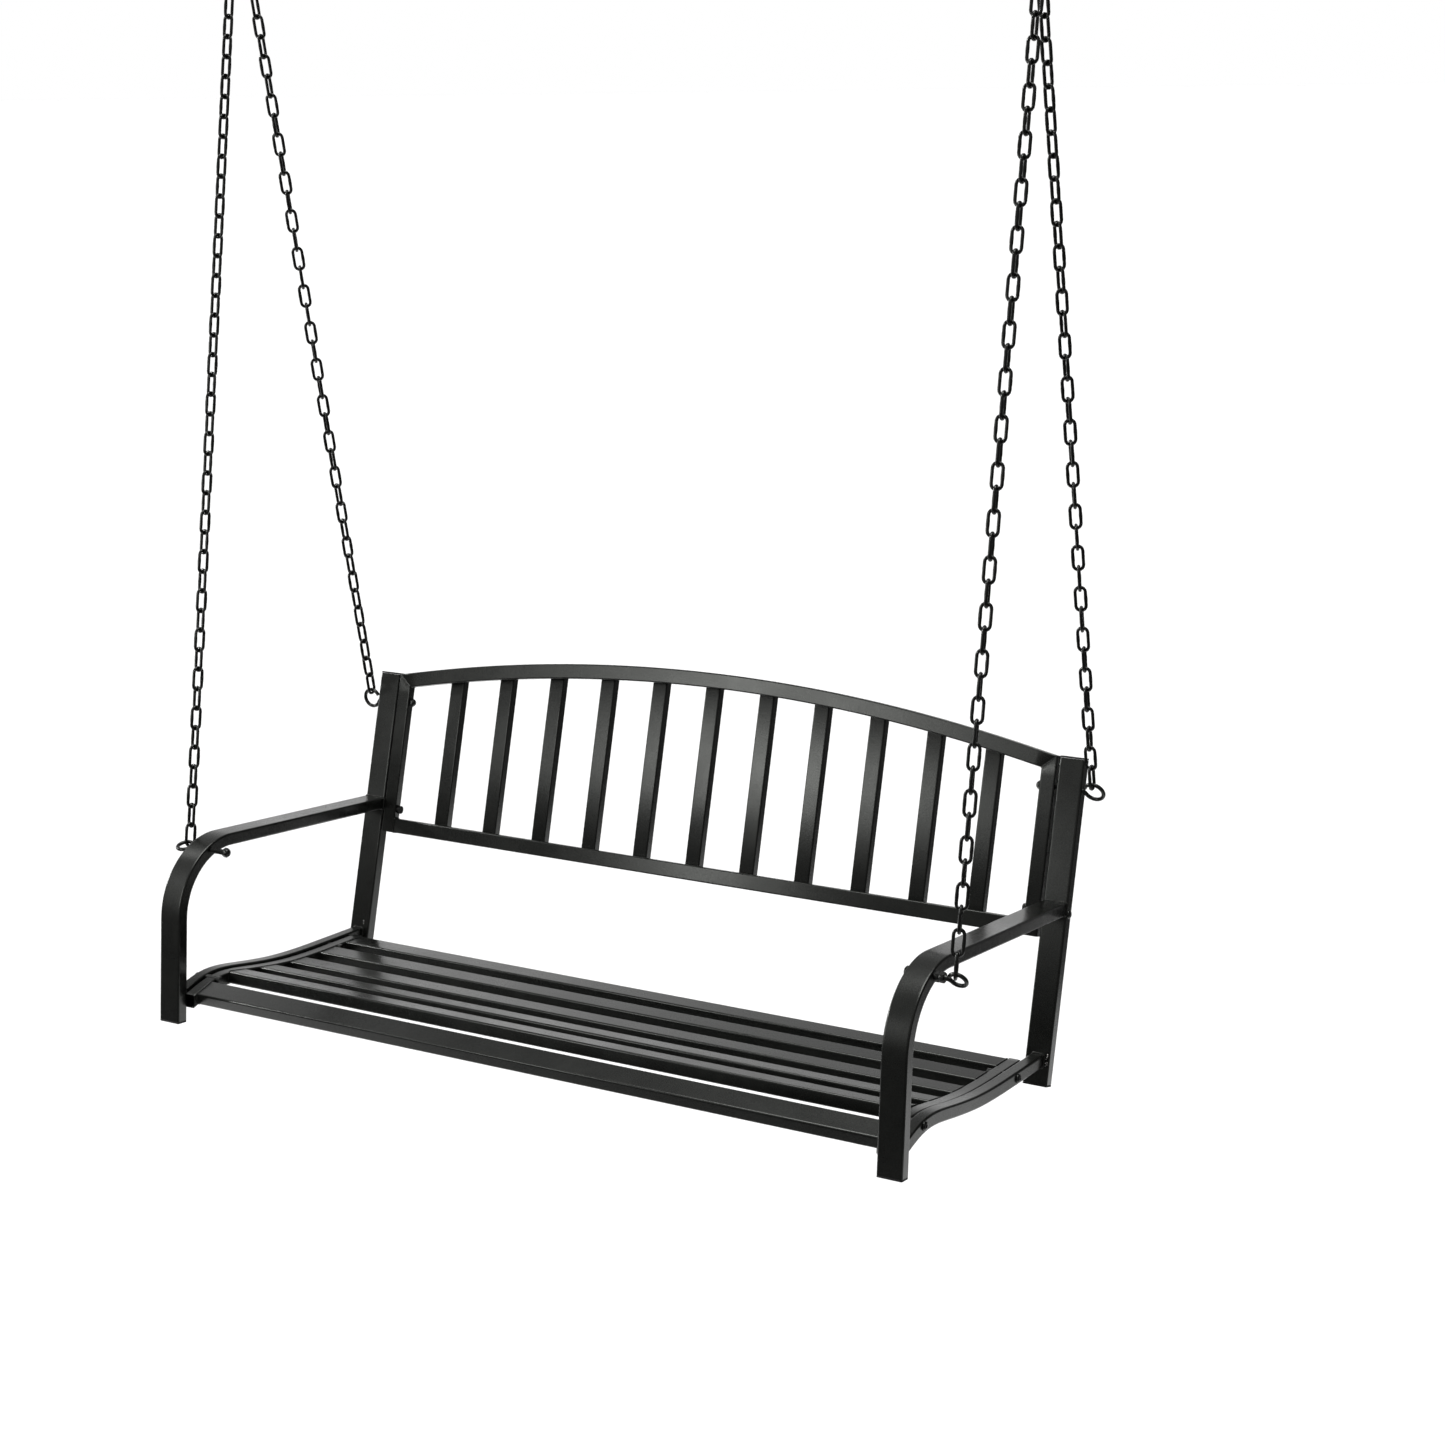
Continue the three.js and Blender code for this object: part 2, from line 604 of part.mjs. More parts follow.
for (const { side, sign } of SIDES) {
  const frontTop = eyeTop(FRONT_EYE.radius, FRONT_SETTING[side].lean);
  const frontX = sign * FRONT_SETTING[side].ringX;
  const front = fromBench(frontX, FRONT_EYE.y + frontTop.y, FRONT_EYE.z + frontTop.z);
  const rearTop = eyeTop(REAR_EYE.radius, REAR_RING_LEAN[side]);
  const rearEye = fromLeaning(BACK_BOLT_DEPTH + rearTop.y, REAR_EYE.v + rearTop.z);
  const rear = fromBench(sign * REAR_EYE.ringX, rearEye.y, rearEye.z);
  const spreadRise = RING.radius - Math.sqrt(RING.radius ** 2 - (APEX_SPREAD + LINK.wire / 2) ** 2);
  const apex = (spread) => new THREE.Vector3(sign * (APEX.x + spread), 0, -apexDrop);
  const onRing = linkOnRing + spreadRise;
  hangChain(`chain_front_${side}`, front, apex(APEX_SPREAD), FRONT_CHAIN, linkOnEye, onRing);
  hangChain(`chain_rear_${side}`, rear, apex(-APEX_SPREAD), REAR_CHAIN, linkOnEye, onRing);

  const x = sign * APEX.x;
  add(swing, `ring_${side}`, ring(), chainSteel).position.set(x, 0, RING.radius - apexDrop);
  const upperFrom = new THREE.Vector3(x, 0, -ringTop);
  const upperTo = new THREE.Vector3(x, 0, -hookBearing);
  hangChain(`chain_upper_${side}`, upperFrom, upperTo, UPPER_CHAIN, linkOnRing, linkOnHook);
  add(swing, `hook_${side}`, hook(sign), chainSteel).position.set(x, 0, HOOK.wire - 2 * HOOK.radius);
}

export default swing;
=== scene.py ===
"""Looks of the hanging porch bench: powder-coated tubes, welds, bolts and round-wire chains.

Metres, +Z up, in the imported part's frame. Sizes of single details are named below in millimetres.
"""

import json
import math
import random

import bpy
from mathutils import Matrix, Vector
from mathutils.bvhtree import BVHTree


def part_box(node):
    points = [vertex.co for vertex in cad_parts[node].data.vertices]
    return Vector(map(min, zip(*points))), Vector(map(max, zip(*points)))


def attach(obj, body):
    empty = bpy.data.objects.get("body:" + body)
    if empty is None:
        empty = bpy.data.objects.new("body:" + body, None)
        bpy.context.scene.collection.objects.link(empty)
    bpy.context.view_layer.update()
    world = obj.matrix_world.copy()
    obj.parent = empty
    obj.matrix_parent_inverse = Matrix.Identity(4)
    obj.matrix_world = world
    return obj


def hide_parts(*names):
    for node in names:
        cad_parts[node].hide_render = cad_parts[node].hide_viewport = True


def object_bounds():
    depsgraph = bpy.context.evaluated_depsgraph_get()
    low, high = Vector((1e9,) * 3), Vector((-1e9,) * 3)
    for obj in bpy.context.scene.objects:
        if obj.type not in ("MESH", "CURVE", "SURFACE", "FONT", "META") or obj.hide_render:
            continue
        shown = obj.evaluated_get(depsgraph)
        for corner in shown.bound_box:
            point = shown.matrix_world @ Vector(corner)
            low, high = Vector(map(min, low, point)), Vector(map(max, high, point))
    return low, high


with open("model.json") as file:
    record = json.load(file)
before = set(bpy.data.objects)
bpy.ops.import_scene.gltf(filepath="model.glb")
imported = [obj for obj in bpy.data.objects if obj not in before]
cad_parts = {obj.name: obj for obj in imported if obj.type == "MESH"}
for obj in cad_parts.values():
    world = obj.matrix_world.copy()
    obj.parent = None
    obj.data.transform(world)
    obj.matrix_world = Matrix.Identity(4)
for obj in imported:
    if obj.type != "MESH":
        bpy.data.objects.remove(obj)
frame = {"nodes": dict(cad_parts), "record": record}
start_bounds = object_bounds()

MM = 0.001
NODES = frame["nodes"]
SIDES = (("left", -1), ("right", 1))
UP = Vector((0, 0, 1))
BACKWARDS = Vector((0, 1, 0))
ACROSS = Vector((1, 0, 0))

# ---------- details, in millimetres ----------

CORNER = 2.6  # outer corner radius of the frame tubes
PANEL_CORNER = 2.0  # the same on the backrest's thinner tubes
WALL = 1.2
OPEN_DEPTH = 18.0  # how far in an open tube end is hollow
EDGE = 0.5  # rounding at a sawn tube end
JOINT_GAP = 0.3  # the CAD leaves this between welded tubes
WELD = 1.7  # radius of a weld bead
FINE_WELD = 1.0
LINK_PITCH = 30.0
LINK_WIDTH = 19.0
WIRE = 4.8
EYE_WIRE = 5.8
RING_WIRE = 6.4
HOOK_WIRE = 6.0
NUT_OVER_SHANK = 3.4  # radius over a nut's corners, more than its shank's
HEAD_RADIUS = 7.0
SPATTER = (0.5, 1.1)  # smallest and largest droplet of weld spatter

# Turn of a chain's first and last link about the chain's line, in degrees; the left side is mirrored.
CHAIN_TWIST = {"front": (110, 90), "rear": (90, 180), "upper": (90, 90)}

# ---------- reading the CAD ----------


def centre(node):
    low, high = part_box(node)
    return (Vector(low) + Vector(high)) / 2


def tipped(normal):
    """Axes turned about X so that their Z is the given direction in the YZ plane."""
    return Matrix.Rotation(-math.atan2(normal.y, normal.z), 3, "X")


def end_face(node, direction):
    """Centre and normal of the node's face that lies farthest along a direction and looks that way."""
    facing = [f for f in NODES[node].data.polygons if f.normal.dot(direction) > 0.5]
    face = max(facing, key=lambda f: f.center.dot(direction))
    return face.center.copy(), face.normal.copy()


def local_box(node, axes):
    """Lowest and highest corner of a node in turned axes."""
    inverse = axes.transposed()
    points = [inverse @ v.co for v in NODES[node].data.vertices]
    low = Vector([min(p[i] for p in points) for i in range(3)])
    high = Vector([max(p[i] for p in points) for i in range(3)])
    return low, high


BENCH = tipped(-end_face("leg_cap_right", -UP)[1])
BACK = tipped(centre("upright_top_cap_right") - centre("upright_foot_cap_right"))
WORLD = Matrix.Identity(3)


def body_of(node):
    for body, names in frame["record"]["behaviour"]["bodies"].items():
        if node in names:
            return body
    raise ValueError(node)


# ---------- mesh building ----------


class Piece:
    """Collects rings of points into one mesh that stands for CAD nodes."""

    def __init__(self):
        self.points = []
        self.faces = []

    def sweep(self, rings, closed=False):
        """Skins a row of equal rings; an open row gets a flat face at each end."""
        first = len(self.points)
        size = len(rings[0])
        for ring in rings:
            self.points.extend(ring)
        rows = len(rings)
        for i in range(rows if closed else rows - 1):
            for j in range(size):
                a = first + i * size + j
                b = first + i * size + (j + 1) % size
                up = first + ((i + 1) % rows) * size
                self.faces.append((a, b, up + (j + 1) % size, up + j))
        if not closed:
            self.faces.append(tuple(first + j for j in reversed(range(size))))
            self.faces.append(tuple(first + (rows - 1) * size + j for j in range(size)))

    def finish(self, material, node, smooth_angle=40, extra=None):
        """Makes the object, ties it to the node's body and hides the node; an extra hides nothing."""
        name = f"{node}_{extra or 'look'}"
        mesh = bpy.data.meshes.new(name)
        mesh.from_pydata([tuple(p) for p in self.points], [], self.faces)
        mesh.validate()
        mesh.shade_smooth()
        mesh.set_sharp_from_angle(angle=math.radians(smooth_angle))
        piece = bpy.data.objects.new(name, mesh)
        bpy.context.scene.collection.objects.link(piece)
        piece.data.materials.append(material)
        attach(piece, body_of(node))
        if not extra:
            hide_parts(node)
        return piece


def rounded_section(width, depth, corner, steps=4):
    """Outline of a rectangle with round corners, with a close pair of points where each flat begins."""
    hold = min(0.4 * MM, width / 8, depth / 8)
    outline = []
    for turn, (sx, sy) in enumerate(((1, 1), (-1, 1), (-1, -1), (1, -1))):
        middle = Vector((sx * (width / 2 - corner), sy * (depth / 2 - corner)))
        arc = []
        for i in range(steps + 1):
            angle = math.pi / 2 * (turn + i / steps)
            arc.append(middle + corner * Vector((math.cos(angle), math.sin(angle))))
        before = Vector((math.sin(math.pi / 2 * turn), -math.cos(math.pi / 2 * turn)))
        after = Vector((-math.sin(math.pi / 2 * (turn + 1)), math.cos(math.pi / 2 * (turn + 1))))
        outline.extend([arc[0] + hold * before, *arc, arc[-1] + hold * after])
    return outline


def section_ring(section, middle, side, normal):
    return [middle + side * p.x + normal * p.y for p in section]


def onto_plane(ring, along, plane):
    """Slides a ring's points along a direction until they lie in a plane (point, normal)."""
    point, normal = plane
    return [p + along * ((point - p).dot(normal) / along.dot(normal)) for p in ring]


def tube(piece, stations, width, depth, corner, ends, side=ACROSS):
    """A rectangular tube along stations (centre, normal), with its width along side.

    ends is a pair of (plane, kind): the plane of the cut, or None for a square one, and 'closed', 'open'
    or 'welded'. Returns the last full-size ring of points at each end.
    """
    edge = EDGE * MM
    full = rounded_section(width, depth, corner)
    rings = [section_ring(full, middle, side, normal) for middle, normal in stations]

    def end_rings(index, way, plane, kind):
        middle, normal = stations[index]
        out = (middle - stations[index + way][0]).normalized()
        plane = plane or (middle, out)
        shift = JOINT_GAP * MM if kind == "welded" else 0.0
        made = []
        for inset, depth_in in ((0.0, edge), (0.3 * edge, 0.3 * edge), (edge, 0.0)):
            small = rounded_section(width - 2 * inset, depth - 2 * inset, corner - inset)
            ring = section_ring(small, middle, side, normal)
            ring = onto_plane(ring, out, plane)
            made.append([p + out * (shift - depth_in) for p in ring])
        if kind == "open":
            wall = WALL * MM
            bore = rounded_section(width - 2 * wall, depth - 2 * wall, corner - wall)
            for depth_in in (0.0, OPEN_DEPTH * MM):
                ring = onto_plane(section_ring(bore, middle, side, normal), out, plane)
                made.append([p - out * depth_in for p in ring])
        return made

    (start_plane, start_kind), (end_plane, end_kind) = ends
    head = end_rings(0, 1, start_plane, start_kind)
    tail = end_rings(-1, -1, end_plane, end_kind)
    piece.sweep([*reversed(head), *rings[1:-1], *tail])
    return head[0], tail[0]


def straight(piece, node, axes, corner, kinds, long_axis=2):
    """A straight tube that fills a node's box in turned axes, along X (0) or Z (2).

    Returns its two end rings, as tube() does.
    """
    low, high = local_box(node, axes)
    middle = (low + high) / 2
    start, end = middle.copy(), middle.copy()
    start[long_axis] = low[long_axis]
    end[long_axis] = high[long_axis]
    size = high - low
    if long_axis == 2:
        side, normal, width, depth = axes @ ACROSS, axes @ BACKWARDS, size.x, size.y
    else:
        side, normal, width, depth = axes @ BACKWARDS, axes @ UP, size.y, size.z
    stations = [(axes @ start, normal), (axes @ end, normal)]
    ends = ((None, kinds[0]), (None, kinds[1]))
    return tube(piece, stations, width, depth, corner * MM, ends, side)


def bead(piece, path, radius, closed=True, seed=0):
    """A lumpy weld bead along a path: a round cord whose radius ripples as the torch weaves."""
    rng = random.Random(seed)
    points = []
    for i in range(len(path) if closed else len(path) - 1):
        start, end = path[i], path[(i + 1) % len(path)]
        parts = max(1, round((end - start).length / (0.7 * MM)))
        points.extend(start.lerp(end, k / parts) for k in range(parts))
    if not closed:
        points.append(path[-1])
    sizes = [0.92 + 0.13 * math.sin(1.25 * i) + rng.uniform(-0.05, 0.05) for i in range(len(points))]
    wire(piece, points, radius, closed, sides=8, sizes=sizes)


def lathe(piece, profile, origin, axis, sides=24):
    """A turned body: profile is a list of (distance along the axis, radius), closed at both ends."""
    across = axis.orthogonal().normalized()
    other = axis.cross(across)
    rings = []
    for along, radius in profile:
        middle = origin + axis * along
        rings.append([middle + radius * turned(across, other, k / sides) for k in range(sides)])
    piece.sweep(rings)


def hex_nut(piece, origin, axis, length, radius):
    """A hexagon nut with chamfered corners, from the origin along the axis."""
    chamfer = 0.06 * radius
    across = axis.orthogonal().normalized()
    other = axis.cross(across)
    rings = []
    for along, share in ((0, 0.87), (chamfer, 0.98), (length - chamfer, 0.98), (length, 0.87)):
        ring = []
        for k in range(24):
            sector = (math.pi / 12 * k + math.pi / 6) % (math.pi / 3) - math.pi / 6
            reach = min(radius * share, radius * math.cos(math.pi / 6) / math.cos(sector))
            ring.append(origin + axis * along + reach * turned(across, other, k / 24))
        rings.append(ring)
    piece.sweep(rings)


def wire(piece, path, radius, closed=False, sides=12, sizes=None):
    """A round wire along a smooth path; sizes are shares of the radius, one for each point."""
    count = len(path)
    side = None
    rings = []
    for i, point in enumerate(path):
        ahead = path[(i + 1) % count] if closed or i < count - 1 else point
        behind = path[i - 1] if closed or i > 0 else point
        along = (ahead - behind).normalized()
        side = along.orthogonal() if side is None else side
        side = (side - along * side.dot(along)).normalized()
        other = along.cross(side)
        size = radius * (sizes[i] if sizes else 1.0)
        rings.append([point + size * turned(side, other, k / sides) for k in range(sides)])
    piece.sweep(rings, closed=closed)


def turned(first, second, share):
    """The first of two square directions, turned towards the second by a share of a full turn."""
    angle = 2 * math.pi * share
    return first * math.cos(angle) + second * math.sin(angle)


# ---------- materials ----------


def new_material(name):
    material = bpy.data.materials.new(name)
    material.use_nodes = True
    tree = material.node_tree
    return material, tree, tree.nodes["Principled BSDF"]


def noise(tree, coords, scale, detail=3.0, roughness=0.5):
    node = tree.nodes.new("ShaderNodeTexNoise")
    node.inputs["Scale"].default_value = scale
    node.inputs["Detail"].default_value = detail
    node.inputs["Roughness"].default_value = roughness
    tree.links.new(coords, node.inputs["Vector"])
    return node.outputs["Fac"]


def remap(tree, value, low, high, to_low, to_high):
    node = tree.nodes.new("ShaderNodeMapRange")
    node.inputs["From Min"].default_value = low
    node.inputs["From Max"].default_value = high
    node.inputs["To Min"].default_value = to_low
    node.inputs["To Max"].default_value = to_high
    tree.links.new(value, node.inputs["Value"])
    return node.outputs["Result"]


def math_node(tree, operation, first, second):
    node = tree.nodes.new("ShaderNodeMath")
    node.operation = operation
    for socket, value in zip(node.inputs, (first, second)):
        if isinstance(value, float):
            socket.default_value = value
        else:
            tree.links.new(value, socket)
    return node.outputs["Value"]


def mix_colour(tree, factor, first, second):
    node = tree.nodes.new("ShaderNodeMix")
    node.data_type = "RGBA"
    tree.links.new(factor, node.inputs["Factor"])
    node.inputs[6].default_value = (*first, 1)
    node.inputs[7].default_value = (*second, 1)
    return node.outputs[2]


def bump(tree, shader, height, strength, distance):
    node = tree.nodes.new("ShaderNodeBump")
    node.inputs["Strength"].default_value = strength
    node.inputs["Distance"].default_value = distance
    tree.links.new(height, node.inputs["Height"])
    tree.links.new(node.outputs["Normal"], shader.inputs["Normal"])


def coated_steel(name, dark, light, rough, texture=1.0):
    """Satin black powder coat: a fine pebbled skin with slow variation in gloss and a little dust."""
    material, tree, shader = new_material(name)
    coords = tree.nodes.new("ShaderNodeTexCoord").outputs["Object"]
    pebble = noise(tree, coords, 1400.0, 2.0)
    orange_peel = noise(tree, coords, 320.0, 2.0)
    patches = noise(tree, coords, 9.0, 5.0, 0.6)
    streaks = noise(tree, coords, 60.0, 4.0, 0.6)
    dust = math_node(tree, "MULTIPLY", patches, streaks)
    shade = remap(tree, dust, 0.16, 0.42, 0.0, 1.0)
    colour = mix_colour(tree, shade, dark, light)
    tree.links.new(colour, shader.inputs["Base Color"])
    gloss = math_node(tree, "ADD", patches, pebble)
    tree.links.new(remap(tree, gloss, 0.7, 1.3, rough - 0.05, rough + 0.07), shader.inputs["Roughness"])
    height = math_node(tree, "ADD", math_node(tree, "MULTIPLY", pebble, 0.35), orange_peel)
    bump(tree, shader, height, 0.35 * texture, 0.00012)
    shader.inputs["Specular Tint"].default_value = (0.975, 1.0, 0.955, 1)
    return material


def bare_steel(name):
    """Bright uncoated metal with darker heat stains."""
    material, tree, shader = new_material(name)
    coords = tree.nodes.new("ShaderNodeTexCoord").outputs["Object"]
    stain = noise(tree, coords, 500.0, 4.0)
    shade = remap(tree, stain, 0.35, 0.7, 0.0, 1.0)
    colour = mix_colour(tree, shade, (0.75, 0.75, 0.74), (0.4, 0.38, 0.36))
    tree.links.new(colour, shader.inputs["Base Color"])
    tree.links.new(remap(tree, stain, 0.3, 0.7, 0.25, 0.45), shader.inputs["Roughness"])
    shader.inputs["Metallic"].default_value = 1.0
    return material


def plastic(name):
    """Matt black moulded plastic, slightly grained and scuffed."""
    material, tree, shader = new_material(name)
    coords = tree.nodes.new("ShaderNodeTexCoord").outputs["Object"]
    grain = noise(tree, coords, 900.0, 3.0)
    scuffs = noise(tree, coords, 70.0, 6.0, 0.7)
    shade = remap(tree, scuffs, 0.45, 0.75, 0.0, 1.0)
    colour = mix_colour(tree, shade, (0.004, 0.004, 0.004), (0.009, 0.009, 0.009))
    tree.links.new(colour, shader.inputs["Base Color"])
    tree.links.new(remap(tree, grain, 0.3, 0.7, 0.5, 0.65), shader.inputs["Roughness"])
    bump(tree, shader, grain, 0.3, 0.0001)
    return material


FRAME_PAINT = coated_steel("frame powder coat", (0.003, 0.0033, 0.0029), (0.0064, 0.0068, 0.0058), 0.27)
CHAIN_PAINT = coated_steel("chain coating", (0.002, 0.002, 0.002), (0.005, 0.005, 0.005), 0.22, 0.6)
BOLT_PAINT = coated_steel("black bolts", (0.003, 0.003, 0.003), (0.008, 0.008, 0.008), 0.24, 0.5)
BARE_STEEL = bare_steel("bare weld droplets")
CAP_PLASTIC = plastic("end cap plastic")

# ---------- side frames ----------


def outer_bend(node):
    """Outer radius of the arm tube's bend: from its front face back to where its top flat begins."""
    low, _ = local_box(node, BENCH)
    top, normal = end_face(node, BENCH @ UP)
    inverse = BENCH.transposed()
    flats = [v.co for v in NODES[node].data.vertices if abs((v.co - top).dot(normal)) < 0.05 * MM]
    return min((inverse @ p).y for p in flats) - low.y


def arm_tube(side):
    """Front leg, bend and armrest in one bent tube, welded to the upright at its rear end."""
    node = f"arm_tube_{side}"
    low, high = local_box(node, BENCH)
    depth = flat_tube_depth("seat_slat_1")
    radius = outer_bend(node) - depth / 2
    x = (low.x + high.x) / 2
    line_y = low.y + depth / 2
    line_z = high.z - depth / 2
    stations = [(Vector((x, line_y, low.z)), Vector((0, -1, 0)))]
    stations.append((Vector((x, line_y, line_z - radius - 2 * MM)), Vector((0, -1, 0))))
    bend_steps = 28
    for i in range(bend_steps + 1):
        angle = math.pi / 2 * i / bend_steps
        normal = Vector((0, -math.cos(angle), math.sin(angle)))
        middle = Vector((x, line_y + radius, line_z - radius)) + radius * normal
        stations.append((middle, normal))
    stations.append((Vector((x, line_y + radius + 2 * MM, line_z)), Vector((0, 0, 1))))
    stations.append((Vector((x, high.y - depth, line_z)), Vector((0, 0, 1))))
    stations = [(BENCH @ middle, BENCH @ normal) for middle, normal in stations]
    weld_face = end_face(node, BENCH @ BACKWARDS)
    piece = Piece()
    ends = ((None, "closed"), (weld_face, "welded"))
    _, rear = tube(piece, stations, high.x - low.x, depth, CORNER * MM, ends)
    bead(piece, rear, WELD * MM, seed=side == "left")
    piece.finish(FRAME_PAINT, node)


def flat_tube_depth(node):
    """Thickness of the flat tubes, read from a straight one that lies across the bench."""
    axes = tipped(end_face(node, UP)[1])
    low, high = local_box(node, axes)
    return high.z - low.z


def upright(side):
    """The leaning flat tube that carries one side's armrest, seat rail and backrest."""
    node = f"upright_{side}"
    piece = Piece()
    straight(piece, node, BACK, CORNER, ("closed", "closed"))
    piece.finish(FRAME_PAINT, node)


def end_cap(node, axes):
    """A plastic cap on a tube's end."""
    low, high = local_box(node, axes)
    middle = (low + high) / 2
    piece = Piece()
    stations = [
        (axes @ Vector((middle.x, middle.y, low.z)), axes @ BACKWARDS),
        (axes @ Vector((middle.x, middle.y, high.z)), axes @ BACKWARDS),
    ]
    ends = ((None, "closed"), (None, "closed"))
    tube(piece, stations, high.x - low.x, high.y - low.y, CORNER * MM, ends, axes @ ACROSS)
    piece.finish(CAP_PLASTIC, node)


def top_line(node, axes, along, samples):
    """Points along the top of a curved tube, found by dropping rays on it, with its facets smoothed."""
    low, high = local_box(node, axes)
    tree = BVHTree.FromObject(NODES[node], bpy.context.evaluated_depsgraph_get())
    margin = 12 * MM
    points = []
    for i in range(samples + 1):
        start = (low + high) / 2
        start[along] = low[along] + margin + (high[along] - low[along] - 2 * margin) * i / samples
        start.z = high.z + margin
        hit = tree.ray_cast(axes @ start, axes @ Vector((0, 0, -1)))[0]
        points.append(hit)
    for _ in range(12):
        inner = [(a + 2 * b + c) / 4 for a, b, c in zip(points, points[1:], points[2:])]
        points = [points[0], *inner, points[-1]]
    return points


def curved_stations(points, depth, side):
    """Centre line and normals of a tube whose top runs along the points; side is square to the curve."""
    stations = []
    last = len(points) - 1
    for i, point in enumerate(points):
        along = (points[min(i + 1, last)] - points[max(i - 1, 0)]).normalized()
        normal = side.cross(along).normalized()
        if normal.z < 0:
            normal = -normal
        stations.append((point - normal * depth / 2, normal))
    return stations


def curved_rail(piece, node, kinds):
    """A seat rail that follows the seat's curve between two cut faces."""
    low, high = local_box(node, BENCH)
    width = high.x - low.x
    stations = curved_stations(top_line(node, BENCH, 1, 44), width, ACROSS)
    faces = (end_face(node, BENCH @ -BACKWARDS), end_face(node, BENCH @ BACKWARDS))
    first, last = stations[0], stations[-1]
    out_front = (first[0] - stations[1][0]).normalized()
    out_back = (last[0] - stations[-2][0]).normalized()
    start = first[0] + out_front * ((faces[0][0] - first[0]).dot(out_front))
    end = last[0] + out_back * ((faces[1][0] - last[0]).dot(out_back))
    stations = [(start, first[1]), *stations, (end, last[1])]
    return tube(piece, stations, width, width, CORNER * MM, tuple(zip(faces, kinds)))


def seat_side_rail(side):
    """The S-curved square tube welded between a front leg and its upright."""
    node = f"seat_side_rail_{side}"
    piece = Piece()
    front, back = curved_rail(piece, node, ("welded", "welded"))
    bead(piece, front, WELD * MM, seed=3)
    bead(piece, back, WELD * MM, seed=4)
    piece.finish(FRAME_PAINT, node)


def spatter(side, count, aside, lowest, highest):
    """Droplets that stuck to the upright beside or above the side rail's rear weld."""
    node = f"seat_side_rail_{side}"
    rear, _ = end_face(node, BENCH @ BACKWARDS)
    low, high = local_box(node, BENCH)
    flank = (high.x - low.x) / 2
    up, out = BACK @ UP, BACK @ -BACKWARDS
    rng = random.Random(5)
    piece = Piece()
    for _ in range(count):
        size = rng.uniform(*SPATTER) * MM
        place = rear + ACROSS * (flank + (aside + rng.uniform(-1.4, 1.4)) * MM)
        place += up * rng.uniform(lowest, highest) * MM + out * (0.4 * size - JOINT_GAP * MM)
        profile = [(-0.9 * size, 0.4 * size), (0, size), (0.6 * size, 0.8 * size), (size, 0.1 * size)]
        lathe(piece, profile, place, out, 10)
    piece.finish(BARE_STEEL, node, extra="spatter")


def side_frames():
    for side, _ in SIDES:
        arm_tube(side)
        upright(side)
        seat_side_rail(side)
        end_cap(f"leg_cap_{side}", BENCH)
        end_cap(f"upright_foot_cap_{side}", BACK)
        end_cap(f"upright_top_cap_{side}", BACK)
    spatter("right", count=12, aside=1.5, lowest=-16, highest=2)
    spatter("left", count=4, aside=-4, lowest=7, highest=12)


# ---------- seat panel ----------


def seat_panel():
    """Two S-curved end rails with open ends; between them the front rail, the back rail and the slats."""
    for side, _ in SIDES:
        node = f"seat_end_rail_{side}"
        piece = Piece()
        curved_rail(piece, node, ("open", "open"))
        piece.finish(FRAME_PAINT, node)
    names = ["seat_front_rail", "seat_back_rail", *(f"seat_slat_{i}" for i in range(1, 5))]
    for seed, node in enumerate(names):
        axes = tipped(end_face(node, UP)[1])
        piece = Piece()
        rings = straight(piece, node, axes, CORNER, ("welded", "welded"), long_axis=0)
        for ring in rings:
            bead(piece, ring, FINE_WELD * MM, seed=10 + seed)
        piece.finish(FRAME_PAINT, node)


# ---------- backrest panel ----------


def top_rail():
    """The arched rail, mitred to the side rails."""
    node = "back_top_rail"
    low, high = local_box(node, BACK)
    bottom_low, bottom_high = local_box("back_bottom_rail", BACK)
    height = bottom_high.z - bottom_low.z
    points = top_line(node, BACK, 0, 60)
    stations = curved_stations(points, height, BACK @ BACKWARDS)
    lean_down = (BACK @ Vector((-0.7, 0, -0.7)), BACK @ Vector((0.7, 0, -0.7)))
    faces = tuple(end_face(node, direction) for direction in lean_down)
    piece = Piece()
    ends = tuple((face, "welded") for face in faces)
    rings = tube(piece, stations, high.y - low.y, height, PANEL_CORNER * MM, ends, BACK @ BACKWARDS)
    for ring in rings:
        bead(piece, ring, 0.6 * MM, seed=20)
    piece.finish(FRAME_PAINT, node)


def panel_side_rail(side, sign):
    """A side rail of the backrest; the mitre at its top looks up and towards the middle."""
    node = f"back_side_rail_{side}"
    low, high = local_box(node, BACK)
    middle = (low + high) / 2
    face = end_face(node, BACK @ Vector((-0.63 * sign, 0, 0.777)))
    stations = [
        (BACK @ Vector((middle.x, middle.y, low.z)), BACK @ BACKWARDS),
        (BACK @ Vector((middle.x, middle.y, high.z - 30 * MM)), BACK @ BACKWARDS),
        (BACK @ Vector((middle.x, middle.y, high.z - 20 * MM)), BACK @ BACKWARDS),
    ]
    piece = Piece()
    ends = ((None, "closed"), (face, "welded"))
    tube(piece, stations, high.x - low.x, high.y - low.y, PANEL_CORNER * MM, ends, BACK @ ACROSS)
    piece.finish(FRAME_PAINT, node)


def backrest_panel():
    """The backrest's four rails and its eleven slats, whose ends are open."""
    top_rail()
    for side, sign in SIDES:
        panel_side_rail(side, sign)
    node = "back_bottom_rail"
    piece = Piece()
    for ring in straight(piece, node, BACK, PANEL_CORNER, ("welded", "welded"), long_axis=0):
        bead(piece, ring, FINE_WELD * MM, seed=30)
    piece.finish(FRAME_PAINT, node)
    for i in range(1, 12):
        node = f"back_slat_{i:02d}"
        piece = Piece()
        straight(piece, node, BACK, PANEL_CORNER, ("open", "open"))
        piece.finish(FRAME_PAINT, node)


# ---------- fasteners ----------


